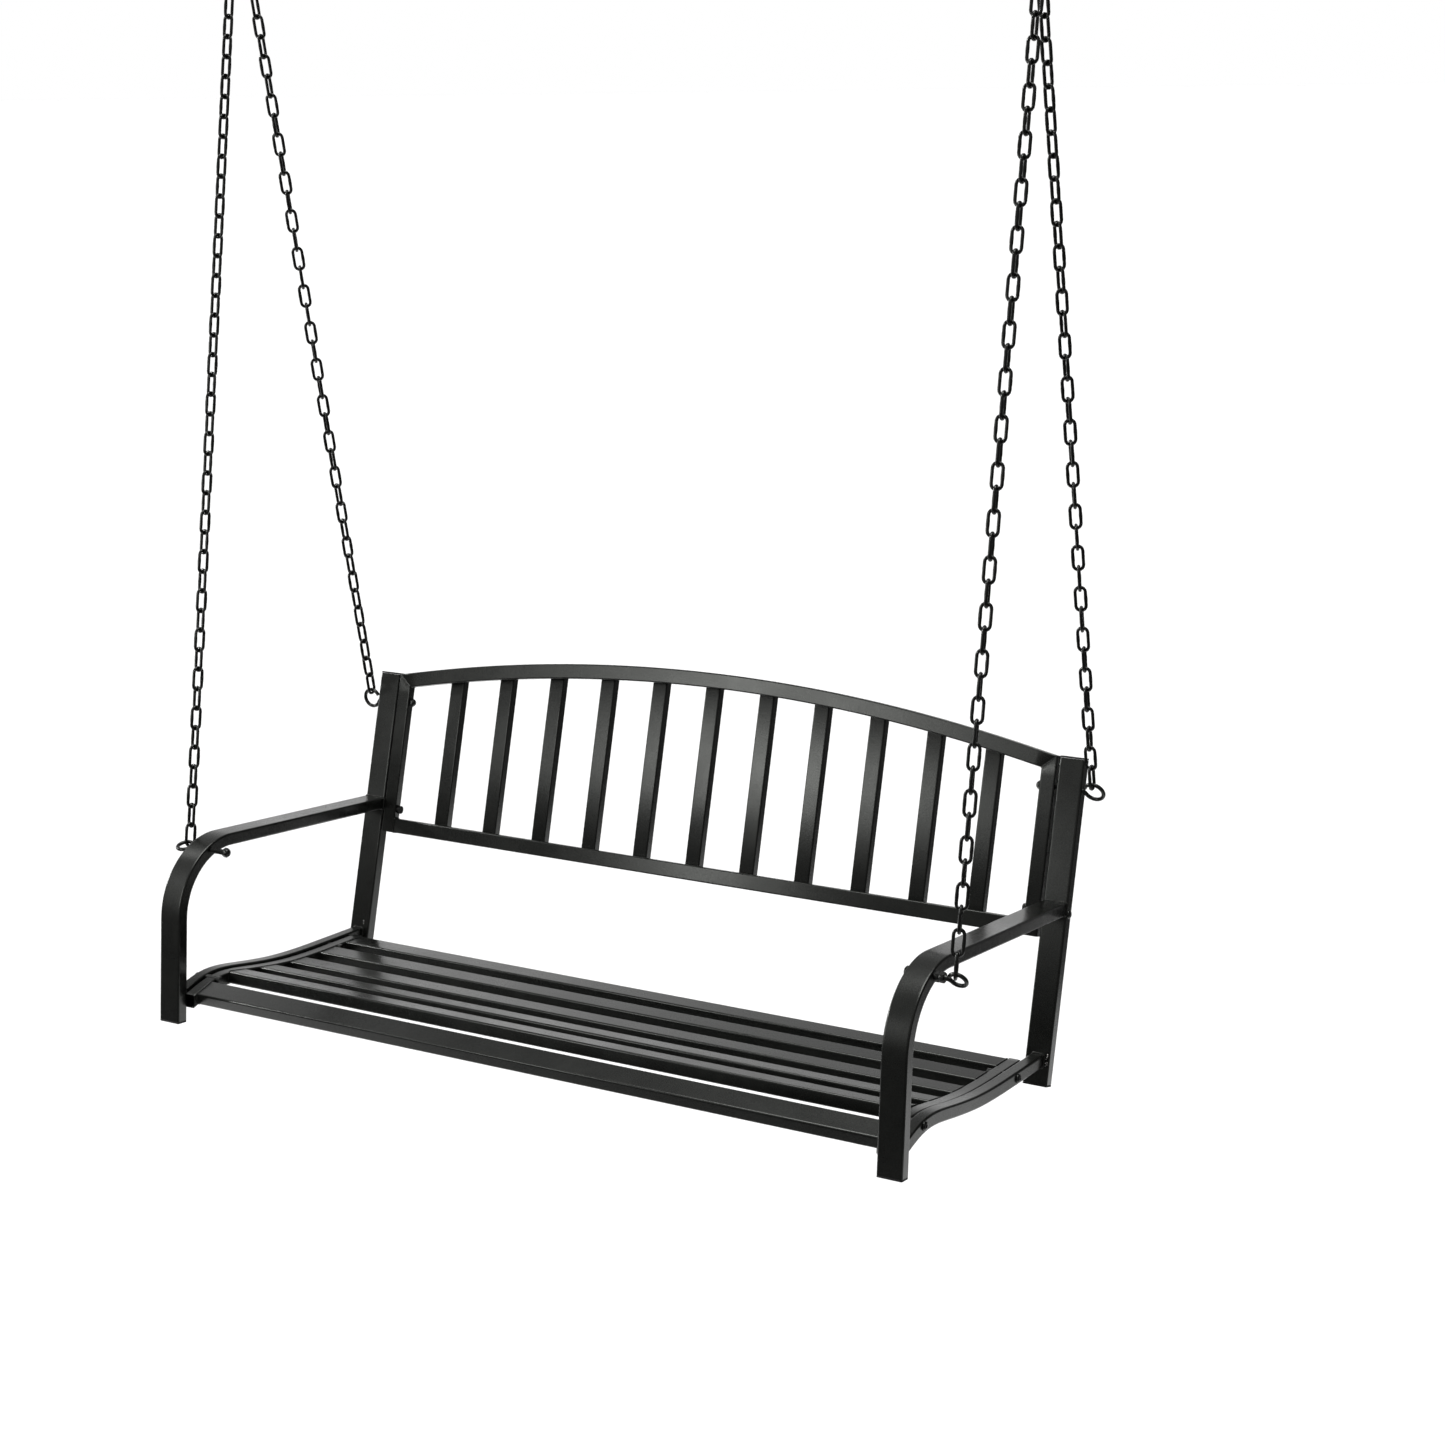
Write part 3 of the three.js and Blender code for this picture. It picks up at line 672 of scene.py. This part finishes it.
def thread(piece, start, axis, length, radius):
    """A threaded shank: a rod whose radius rises and falls once per pitch."""
    half_pitch = 0.5 * MM
    count = max(2, round(length / half_pitch))
    profile = [(length * i / count, radius * (1.0 if i % 2 else 0.9)) for i in range(count + 1)]
    lathe(piece, profile, start, axis, 20)


class Bolt:
    """The middle line of a bolt node; s runs along it, away from the middle of the bench."""

    def __init__(self, node, axes, sign):
        low, high = local_box(node, axes)
        self.middle = (low + high) / 2
        self.axes = axes
        self.sign = sign
        self.out = sign * ACROSS
        inverse = axes.transposed()
        self.points = [inverse @ v.co for v in NODES[node].data.vertices]
        self.inner, self.outer = sorted((sign * low.x, sign * high.x))
        tail = [self.off_line(p).length for p in self.points if sign * p.x < self.inner + 0.5 * MM]
        self.shank = max(tail)

    def at(self, s):
        return self.axes @ Vector((self.sign * s, self.middle.y, self.middle.z))

    def off_line(self, point):
        """Vector from the middle line to a point."""
        return Vector((0, point.y - self.middle.y, point.z - self.middle.z))

    def rims(self, radius, below=math.inf):
        """Where along the line the node has edges of a given radius, from the inside outwards."""
        found = set()
        for point in self.points:
            s = self.sign * point.x
            if abs(self.off_line(point).length - radius) < 0.1 * MM and s < below:
                found.add(round(s, 5))
        return sorted(found)


def nuts(piece, bolt, below=math.inf):
    """Hexagon nuts where the node has them."""
    radius = bolt.shank + NUT_OVER_SHANK * MM
    rims = bolt.rims(radius, below)
    for start, end in zip(rims[::2], rims[1::2]):
        hex_nut(piece, bolt.at(start), bolt.out, end - start, radius)


def eye_path(centre_point, out, up, radius):
    """Centre line of a bent eye: from the shank through a swan neck, then round back to the neck."""
    path = []
    neck = centre_point - out * (radius + 8 * MM)
    start_angle = math.radians(205)
    entry = centre_point + radius * (out * math.cos(start_angle) + up * math.sin(start_angle))
    heading = up * math.cos(start_angle) - out * math.sin(start_angle)
    first, second = neck + out * 4 * MM, entry - heading * 5 * MM
    for i in range(6):
        t = i / 6
        weights = ((1 - t) ** 3, 3 * t * (1 - t) ** 2, 3 * t * t * (1 - t), t**3)
        path.append(sum((w * p for w, p in zip(weights, (neck, first, second, entry))), Vector()))
    turns = 40
    for i in range(turns + 1):
        angle = start_angle + math.radians(313) * i / turns
        path.append(centre_point + radius * (out * math.cos(angle) + up * math.sin(angle)))
    return path


def eye_bolt(node, axes, sign):
    """A bent-wire eye on a threaded shank, with the nuts that the node has behind its ring."""
    bolt = Bolt(node, axes, sign)
    top = max(bolt.points, key=lambda p: bolt.off_line(p).length * (p.z > bolt.middle.z))
    reach = bolt.off_line(top).length
    radius = reach - EYE_WIRE / 2 * MM
    ring_at = bolt.outer - reach
    up = axes @ bolt.off_line(top).normalized()
    path = eye_path(bolt.at(ring_at), bolt.out, up, radius)
    swell = bolt.shank / (EYE_WIRE / 2 * MM) - 1
    sizes = [1 + swell * max(0, 1 - i / 6) for i in range(len(path))]
    piece = Piece()
    wire(piece, path, EYE_WIRE / 2 * MM, sides=14, sizes=sizes)
    shank_end = ring_at - radius - 7 * MM
    thread(piece, bolt.at(bolt.inner), bolt.out, shank_end - bolt.inner, bolt.shank)
    nuts(piece, bolt, ring_at - reach)
    piece.finish(BOLT_PAINT, node)


def cap_nut(node, axes, sign):
    """A hexagon nut with a domed blind end towards the middle of the bench."""
    bolt = Bolt(node, axes, sign)
    length = bolt.outer - bolt.inner
    dome = 0.4 * length
    corners = max(bolt.off_line(p).length for p in bolt.points)
    radius = 0.8 * corners
    piece = Piece()
    hex_nut(piece, bolt.at(bolt.outer), -bolt.out, length - dome, corners)
    profile = [(-0.5 * MM, radius)]
    for i in range(8):
        angle = math.pi / 2 * i / 7
        profile.append((dome * math.sin(angle), max(0.4 * MM, radius * math.cos(angle))))
    lathe(piece, profile, bolt.at(bolt.inner + dome), -bolt.out)
    piece.finish(BOLT_PAINT, node)


def round_head_bolt(node, axes, sign):
    """A button head with a hexagon socket outside, its shank through the grip and a nut inside."""
    bolt = Bolt(node, axes, sign)
    base = bolt.rims(HEAD_RADIUS * MM)[0]
    rim = 0.94 * HEAD_RADIUS * MM
    height = 0.85 * (bolt.outer - base)
    piece = Piece()
    profile = [(0, rim - 0.4 * MM), (0.3 * MM, rim), (0.8 * MM, rim)]
    for i in range(1, 7):
        angle = math.radians(60) * i / 6
        profile.append((0.8 * MM + (height - 0.8 * MM) * math.sin(angle) / 0.866, rim * math.cos(angle)))
    socket = rim * 0.36
    profile += [(height, socket + 0.3 * MM), (height - 0.3 * MM, socket), (height - 2.2 * MM, socket)]
    lathe(piece, profile, bolt.at(base), bolt.out, 30)
    lathe(piece, [(0, bolt.shank), (base - bolt.inner, bolt.shank)], bolt.at(bolt.inner), bolt.out)
    nuts(piece, bolt)
    piece.finish(BOLT_PAINT, node)


def fasteners():
    for side, sign in SIDES:
        eye_bolt(f"eye_bolt_front_{side}", BENCH, sign)
        cap_nut(f"cap_nut_front_{side}", BENCH, sign)
        eye_bolt(f"eye_bolt_rear_{side}", BACK, sign)
        cap_nut(f"cap_nut_rear_{side}", BACK, sign)
        round_head_bolt(f"back_bolt_{side}", BACK, sign)
        round_head_bolt(f"seat_bolt_front_{side}", BENCH, sign)
        round_head_bolt(f"seat_bolt_rear_{side}", BENCH, sign)


# ---------- chains ----------


def chain_line(node):
    """Lowest and highest point of a chain node's centre line, from the middles of its end links."""
    points = [v.co for v in NODES[node].data.vertices]
    low = min(points, key=lambda p: p.z)
    high = max(points, key=lambda p: p.z)
    along = (high - low).normalized()
    for _ in range(3):
        reach = [p.dot(along) for p in points]
        bottom, top = min(reach), max(reach)
        slab = 12 * MM
        lowest = [p for p, r in zip(points, reach) if r < bottom + slab]
        highest = [p for p, r in zip(points, reach) if r > top - slab]
        ends = [sum(chosen, Vector()) / len(chosen) for chosen in (lowest, highest)]
        along = (ends[1] - ends[0]).normalized()
    start = ends[0] + along * (bottom - ends[0].dot(along))
    end = ends[0] + along * (top - ends[0].dot(along))
    return start, end


def link_path():
    """Centre line of one link in the XZ plane: two straight legs and two half turns."""
    radius = (LINK_WIDTH - WIRE) / 2 * MM
    half = (LINK_PITCH + WIRE) / 2 * MM - radius
    path = []
    for way in (1, -1):
        for k in range(9):
            angle = math.pi * k / 8
            across, up = radius * math.cos(angle), half + radius * math.sin(angle)
            path.append(Vector((way * across, 0, way * up)))
        path.extend(Vector((-way * radius, 0, way * half * (1 - 2 * k / 5))) for k in range(1, 5))
    return path


def chain(node, kind, sign):
    """Links that bear on each other, each a quarter turn from the last, in a gently twisted chain."""
    start, end = chain_line(node)
    along = (end - start).normalized()
    overhang = (WIRE + 0.2) * MM
    length = (end - start).length - 2 * overhang
    count = round(length / (LINK_PITCH * MM))
    step = length / count
    first, last = (math.radians(sign * a) for a in CHAIN_TWIST[kind])
    lean = UP.rotation_difference(along).to_matrix()
    shape = link_path()
    sizes = [1.0] * len(shape)
    sizes[10] = sizes[11] = 1.1  # the butt weld in the middle of one leg stands a little proud
    piece = Piece()
    for i in range(count):
        spin = first + i * math.pi / 2 + (last - first) * i / (count - 1)
        turn = lean @ Matrix.Rotation(spin, 3, "Z")
        middle = start + along * (overhang + step * (i + 0.5))
        path = [middle + turn @ p for p in shape]
        wire(piece, path, WIRE / 2 * MM, closed=True, sides=10, sizes=sizes)
    piece.finish(CHAIN_PAINT, node, smooth_angle=60)


def ring(node):
    """The welded ring that joins one side's chains."""
    low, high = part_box(node)
    radius = (high[0] - low[0] - RING_WIRE * MM) / 2
    steps = 64
    path = [centre(node) + radius * turned(ACROSS, UP, i / steps) for i in range(steps)]
    sizes = [1.0] * steps
    sizes[steps // 8] = 1.1
    piece = Piece()
    wire(piece, path, RING_WIRE / 2 * MM, closed=True, sides=16, sizes=sizes)
    piece.finish(CHAIN_PAINT, node, smooth_angle=60)


def hook(node, sign):
    """An S-hook with rounded tips: its upper turn opens inwards, its lower one outwards."""
    low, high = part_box(node)
    radius = (high[2] - low[2] - HOOK_WIRE * MM) / 4
    steps = 36
    path = []
    for way, start in ((1, 198), (-1, 90)):
        for i in range(steps if way > 0 else steps + 1):
            angle = math.radians(start - way * 288 * i / steps)
            around = radius * Vector((sign * math.cos(angle), 0, math.sin(angle)))
            path.append(centre(node) + UP * way * radius + around)
    tip = [0.35, 0.75, 0.93]
    sizes = [*tip, *[1.0] * (len(path) - 6), *reversed(tip)]
    piece = Piece()
    wire(piece, path, HOOK_WIRE / 2 * MM, sides=16, sizes=sizes)
    piece.finish(CHAIN_PAINT, node, smooth_angle=60)


def chains():
    for side, sign in SIDES:
        for kind in ("front", "rear", "upper"):
            chain(f"chain_{kind}_{side}", kind, sign)
        ring(f"ring_{side}")
        hook(f"hook_{side}", sign)


# ---------- floor, light and camera ----------

FLOOR_BELOW = 0.9  # the feet hang this far above the floor, in metres
FLOOR_FRONT = (-1.15, -0.4)  # from front to back the floor's colour goes from painted shade (unlit) to pale (lit) between these
FLOOR_RIGHT = (1.5, 2.0)  # and from pale to painted shade to the right, along a slanting line
FLOOR_SLANT = 0.29
FLOOR_SIZE = 400
CAMERA_PLACE = Vector((2.1186, -3.2222, -0.4754))
CAMERA_AZIMUTH = 31.08
CAMERA_ELEVATION = 11.40
CAMERA_ROLL = -0.868
LENS = 66.83
SHIFT = -0.0709


def floor():
    """A pale floor whose colour is painted dark, as painted shade, in front of the swing and to its
    right, where the studio is dim.
    """
    low, _ = start_bounds
    mesh = bpy.data.meshes.new("floor")
    corners = [(x, y, 0) for x, y in ((-1, -1), (1, -1), (1, 1), (-1, 1))]
    mesh.from_pydata([Vector(c) * FLOOR_SIZE for c in corners], [], [(0, 1, 2, 3)])
    plane = bpy.data.objects.new("floor", mesh)
    plane.location.z = low[2] - FLOOR_BELOW
    material, tree, shader = new_material("floor")
    split = tree.nodes.new("ShaderNodeSeparateXYZ")
    tree.links.new(tree.nodes.new("ShaderNodeTexCoord").outputs["Object"], split.inputs["Vector"])
    right, back = split.outputs["X"], split.outputs["Y"]
    slanted = math_node(tree, "ADD", right, math_node(tree, "MULTIPLY", back, FLOOR_SLANT))
    # Painted shade: the floor's base colour darkens towards the front and the right, standing in for dim
    # light there.
    painted_lit = remap(tree, back, *FLOOR_FRONT, 0.0, 1.0)
    painted_lit = math_node(tree, "MULTIPLY", painted_lit, remap(tree, slanted, *FLOOR_RIGHT, 1.0, 0.0))
    colour = mix_colour(tree, painted_lit, (0.06, 0.06, 0.06), (0.93, 0.93, 0.93))
    tree.links.new(colour, shader.inputs["Base Color"])
    shader.inputs["Roughness"].default_value = 0.9
    mesh.materials.append(material)
    bpy.context.scene.collection.objects.link(plane)


def softbox(name, place, target, width, height, power):
    """A rectangular lamp at a place, in metres, that faces its target; its power is in watts."""
    light = bpy.data.lights.new(name, "AREA")
    light.shape = "RECTANGLE"
    light.size = width
    light.size_y = height
    light.energy = power
    lamp = bpy.data.objects.new(name, light)
    lamp.location = place
    lamp.rotation_euler = (Vector(target) - Vector(place)).to_track_quat("-Z", "Y").to_euler()
    bpy.context.scene.collection.objects.link(lamp)


def distant(name, azimuth, elevation, power, spread):
    """A far light; azimuth is counted from straight in front towards the right, all in degrees."""
    azimuth, elevation = math.radians(azimuth), math.radians(elevation)
    level = Vector((math.sin(azimuth), -math.cos(azimuth), 0))
    source = level * math.cos(elevation) + UP * math.sin(elevation)
    light = bpy.data.lights.new(name, "SUN")
    light.energy = power
    light.angle = math.radians(spread)
    lamp = bpy.data.objects.new(name, light)
    lamp.rotation_euler = source.to_track_quat("Z", "Y").to_euler()
    bpy.context.scene.collection.objects.link(lamp)


def studio():
    """A room that is white behind the swing and dim in front and to the right, and its lamps."""
    world = bpy.data.worlds.new("studio")
    bpy.context.scene.world = world
    world.use_nodes = True
    tree = world.node_tree
    background = tree.nodes["Background"]
    coords = tree.nodes.new("ShaderNodeTexCoord").outputs["Generated"]
    split = tree.nodes.new("ShaderNodeSeparateXYZ")
    tree.links.new(coords, split.inputs["Vector"])
    ahead, height = split.outputs["Y"], split.outputs["Z"]
    # In front of the swing the room is dim at eye level and a little lighter overhead and far below.
    front = remap(tree, height, -0.05, 0.3, 0.06, 0.32)
    front = math_node(tree, "ADD", front, remap(tree, height, -0.65, -0.35, 0.35, 0.0))
    # The wall behind the swing loses light upwards in two steps, and to the right.
    wall = remap(tree, height, 0.08, 0.2, 1.0, 0.72)
    wall = math_node(tree, "MULTIPLY", wall, remap(tree, height, 0.3, 0.55, 1.0, 0.45))
    wall = math_node(tree, "MULTIPLY", wall, remap(tree, split.outputs["X"], -0.15, 0.25, 1.0, 0.1))
    behind = remap(tree, ahead, -0.25, 0.15, 0.0, 1.0)
    more = math_node(tree, "MULTIPLY", behind, math_node(tree, "SUBTRACT", wall, front))
    tree.links.new(math_node(tree, "ADD", front, more), background.inputs["Color"])
    background.inputs["Strength"].default_value = 1.0
    distant("overhead light", azimuth=0, elevation=90, power=2.5, spread=40)
    distant("glint light", azimuth=-75, elevation=22, power=1.3, spread=6)
    softbox("front softbox", (-1.36, -2.3, -0.74), (0.1, 0.2, -1.4), 0.74, 1.15, power=17)
    softbox("left softbox", (-2.3, -0.05, 0.25), (-0.6, -0.3, -1.6), 0.5, 0.5, power=2)
    softbox("low right softbox", (1.5, 1.35, -2.6), (0.64, -0.3, -1.85), 0.8, 0.4, power=1.1)


def camera():
    """The photo's view: from the front right and slightly above, with the lens shifted down."""
    azimuth, elevation = math.radians(CAMERA_AZIMUTH), math.radians(CAMERA_ELEVATION)
    back = Vector((math.sin(azimuth), -math.cos(azimuth), math.tan(elevation))).normalized()
    data = bpy.data.cameras.new("camera")
    data.sensor_width = 36
    data.lens = LENS
    data.shift_y = SHIFT
    eye = bpy.data.objects.new("camera", data)
    eye.location = CAMERA_PLACE
    roll = Matrix.Rotation(math.radians(CAMERA_ROLL), 3, "Z")
    eye.rotation_euler = ((-back).to_track_quat("-Z", "Y").to_matrix() @ roll).to_euler()
    bpy.context.scene.collection.objects.link(eye)
    bpy.context.scene.camera = eye


side_frames()
seat_panel()
backrest_panel()
fasteners()
chains()
floor()
studio()
camera()
bpy.context.scene.view_settings.view_transform = "Standard"
